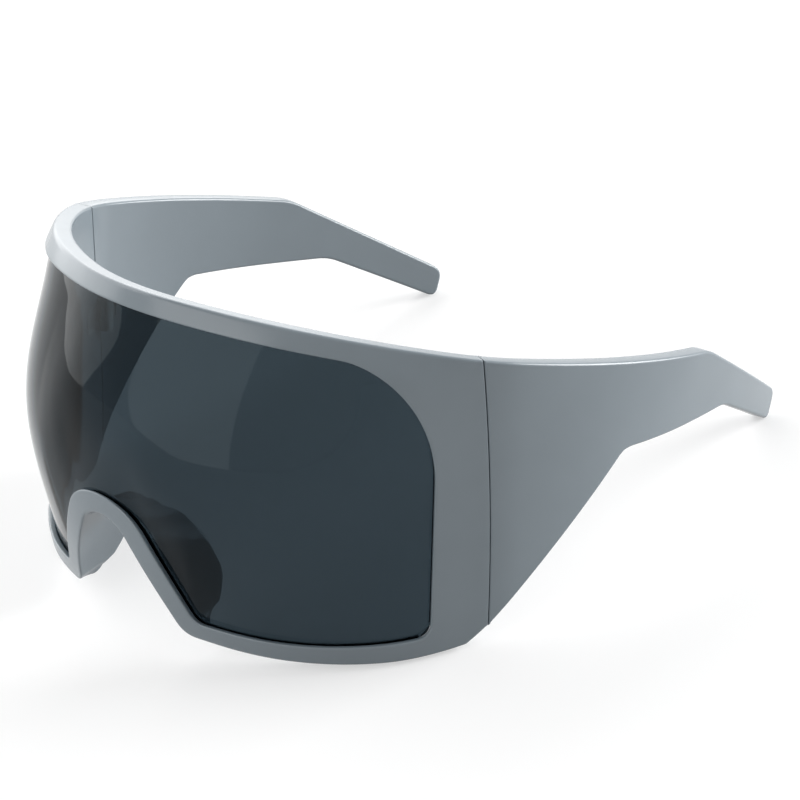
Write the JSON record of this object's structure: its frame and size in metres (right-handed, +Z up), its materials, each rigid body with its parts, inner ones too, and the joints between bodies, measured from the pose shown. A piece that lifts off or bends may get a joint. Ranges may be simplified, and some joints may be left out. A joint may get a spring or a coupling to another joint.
{
  "type": "shield sunglasses",
  "caption": "Wrap-round shield sunglasses: a tall one-piece smoke lens in a moulded frame, with wide tapering temples that fold on small screwed hinges.",
  "frame": {"origin": "middle of the footprint, on the surface that the lower rim and both temple tips stand on", "axes": "+Z up from that surface, -Y out through the front of the glasses, +X to the wearer's left"},
  "size_m": [0.1416, 0.1528, 0.0791],
  "materials": {
    "frame_plastic": "glossy moulded",
    "lens": "polished dark smoke",
    "hinge_metal": "satin",
    "screw_metal": "satin"
  },
  "bodies": {
    "front": {"front_frame": "frame_plastic", "shield_lens": "lens", "hinge_front_leaf_left": "hinge_metal", "hinge_front_leaf_right": "hinge_metal", "hinge_screw_left": "screw_metal", "hinge_screw_right": "screw_metal", "front_leaf_screws_left": "screw_metal", "front_leaf_screws_right": "screw_metal"},
    "left_temple": {"temple_left": "frame_plastic", "hinge_temple_leaf_left": "hinge_metal", "temple_leaf_screws_left": "screw_metal"},
    "right_temple": {"temple_right": "frame_plastic", "hinge_temple_leaf_right": "hinge_metal", "temple_leaf_screws_right": "screw_metal"}
  },
  "joints": [
    {"name": "left_temple_fold", "type": "hinge", "parent": "front", "child": "left_temple", "pos_m": [0.05912, -0.02348, 0.03652], "axis": [0, 0.1739, 0.9848], "range_deg": [0, 88]},
    {"name": "right_temple_fold", "type": "hinge", "parent": "front", "child": "right_temple", "pos_m": [-0.05912, -0.02348, 0.03652], "axis": [0, -0.1739, -0.9848], "range_deg": [0, 77]}
  ]
}
